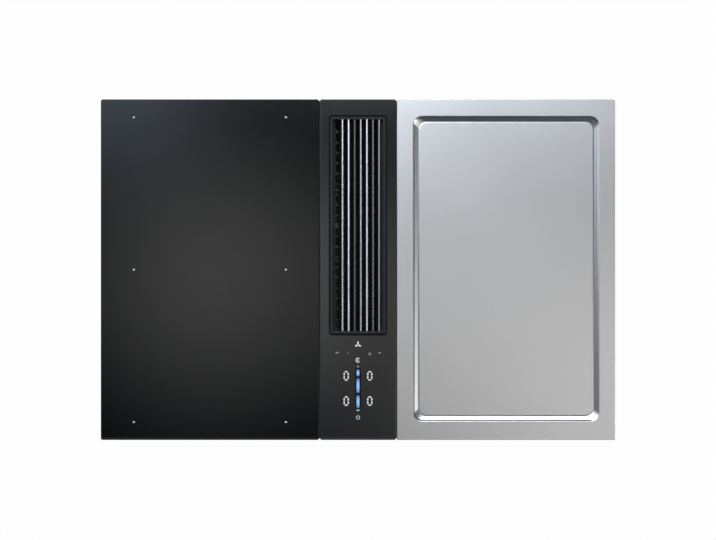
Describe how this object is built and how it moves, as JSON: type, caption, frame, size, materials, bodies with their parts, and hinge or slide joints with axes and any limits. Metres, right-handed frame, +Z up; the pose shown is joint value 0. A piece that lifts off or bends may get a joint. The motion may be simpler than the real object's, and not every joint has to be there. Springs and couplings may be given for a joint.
{
  "type": "downdraft induction cooktop",
  "caption": "Drop-in cooktop: black glass induction module, centre downdraft slot with touch controls, and a brushed steel griddle module, with the extraction fan hung below.",
  "frame": {"origin": "middle of the cooktop in plan, on the worktop's top surface, which the seal's underside meets", "axes": "+Z up out of the worktop, +Y to the back, +X to the right as the cook sees it"},
  "size_m": [0.785, 0.52, 0.1965],
  "materials": {
    "seal_rubber": "soft black foam rubber",
    "joint_rubber": "black rubber strip",
    "galvanised_sheet": "galvanised sheet steel",
    "zinc_screw": "zinc-plated steel",
    "spring_steel": "spring steel",
    "black_glass": "polished black glass ceramic",
    "mica": "pressed mica sheet",
    "copper_litz": "wound enamelled copper litz",
    "white_plastic": "heat-resistant plastic",
    "ferrite": "sintered ferrite",
    "aluminium_sheet": "mill-finish aluminium",
    "black_plastic": "moulded black plastic",
    "grey_plastic": "moulded grey plastic",
    "circuit_board": "green solder mask",
    "component_plastic": "moulded component casing",
    "motor_steel": "painted motor can",
    "shaft_steel": "ground steel",
    "black_painted_steel": "satin black coating",
    "filter_metal": "stainless mesh",
    "griddle_steel": "brushed stainless steel",
    "element_sheath": "oxidised steel sheath",
    "fibre_board": "ceramic fibre",
    "display_module": "dark display module",
    "light_guide": "frosted light guide"
  },
  "bodies": {
    "hob": {"worktop_seal": "seal_rubber", "joint_profiles": "joint_rubber", "joining_brackets": "galvanised_sheet", "worktop_clips": "spring_steel", "housing_screws": "zinc_screw", "induction_glass": "black_glass", "induction_casing": "galvanised_sheet", "mica_sheet": "mica", "front_zone_coils": "copper_litz", "rear_zone_coils": "copper_litz", "coil_carriers": "white_plastic", "ferrite_bars": "ferrite", "coil_shield_plate": "aluminium_sheet", "plate_posts": "aluminium_sheet", "zone_sensors": "white_plastic", "inverter_board": "circuit_board", "board_standoffs": "white_plastic", "inverter_heat_sink": "aluminium_sheet", "power_transistors": "black_plastic", "inverter_capacitors": "component_plastic", "filter_choke": "copper_litz", "terminal_block": "grey_plastic", "mains_gland": "black_plastic", "cooling_fan_housing": "black_plastic", "cooling_fan_motor": "motor_steel", "downdraft_glass": "black_glass", "inlet_housing": "black_plastic", "control_box": "black_plastic", "touch_board": "circuit_board", "display_modules": "display_module", "slider_light_guide": "light_guide", "suction_duct": "galvanised_sheet", "fan_scroll_lower": "black_plastic", "fan_scroll_upper": "black_plastic", "fan_inlet_nozzle": "black_plastic", "fan_motor": "motor_steel", "fan_hangers": "shaft_steel", "duct_spigot": "black_plastic", "flap_pin": "shaft_steel", "griddle_plate": "griddle_steel", "griddle_frame": "black_painted_steel", "heat_spreader": "aluminium_sheet", "front_heating_element": "element_sheath", "rear_heating_element": "element_sheath", "element_clamps": "spring_steel", "griddle_insulation": "fibre_board", "insulation_tray": "galvanised_sheet", "griddle_sensors": "shaft_steel", "griddle_relay_board": "circuit_board", "griddle_casing": "galvanised_sheet"},
    "grille": {"grille_frame": "black_painted_steel", "grille_blades": "black_painted_steel"},
    "grease_filter": {"filter_frame": "filter_metal", "filter_mesh": "filter_metal"},
    "drip_tray": {"drip_tray": "grey_plastic"},
    "extraction_wheel": {"fan_wheel": "grey_plastic", "fan_wheel_ring": "grey_plastic", "motor_shaft": "shaft_steel"},
    "cooling_wheel": {"cooling_fan_impeller": "black_plastic"},
    "backdraft_flap": {"backdraft_flap": "aluminium_sheet"}
  },
  "joints": [
    {"name": "grille_lift", "type": "slide", "parent": "hob", "child": "grille", "axis": [0, 0, 1], "range_m": [0, 0.08]},
    {"name": "filter_lift", "type": "slide", "parent": "hob", "child": "grease_filter", "axis": [0, 0, 1], "range_m": [0, 0.06]},
    {"name": "tray_slide", "type": "slide", "parent": "hob", "child": "drip_tray", "axis": [0, -1, 0], "range_m": [0, 0.3]},
    {"name": "extraction_spin", "type": "hinge", "parent": "hob", "child": "extraction_wheel", "pos_m": [0.21, -0.03, -0.14], "axis": [0, 0, 1], "continuous": true},
    {"name": "cooling_spin", "type": "hinge", "parent": "hob", "child": "cooling_wheel", "pos_m": [-0.296, -0.163, -0.035], "axis": [0, 0, 1], "continuous": true},
    {"name": "flap_swing", "type": "hinge", "parent": "hob", "child": "backdraft_flap", "pos_m": [0.26031, 0.161, -0.1055], "axis": [1, 0, 0], "range_deg": [0, 85]}
  ],
  "couplings": [
    {"joint": "filter_lift", "follows": "grille_lift", "ratio": 0.75}
  ]
}
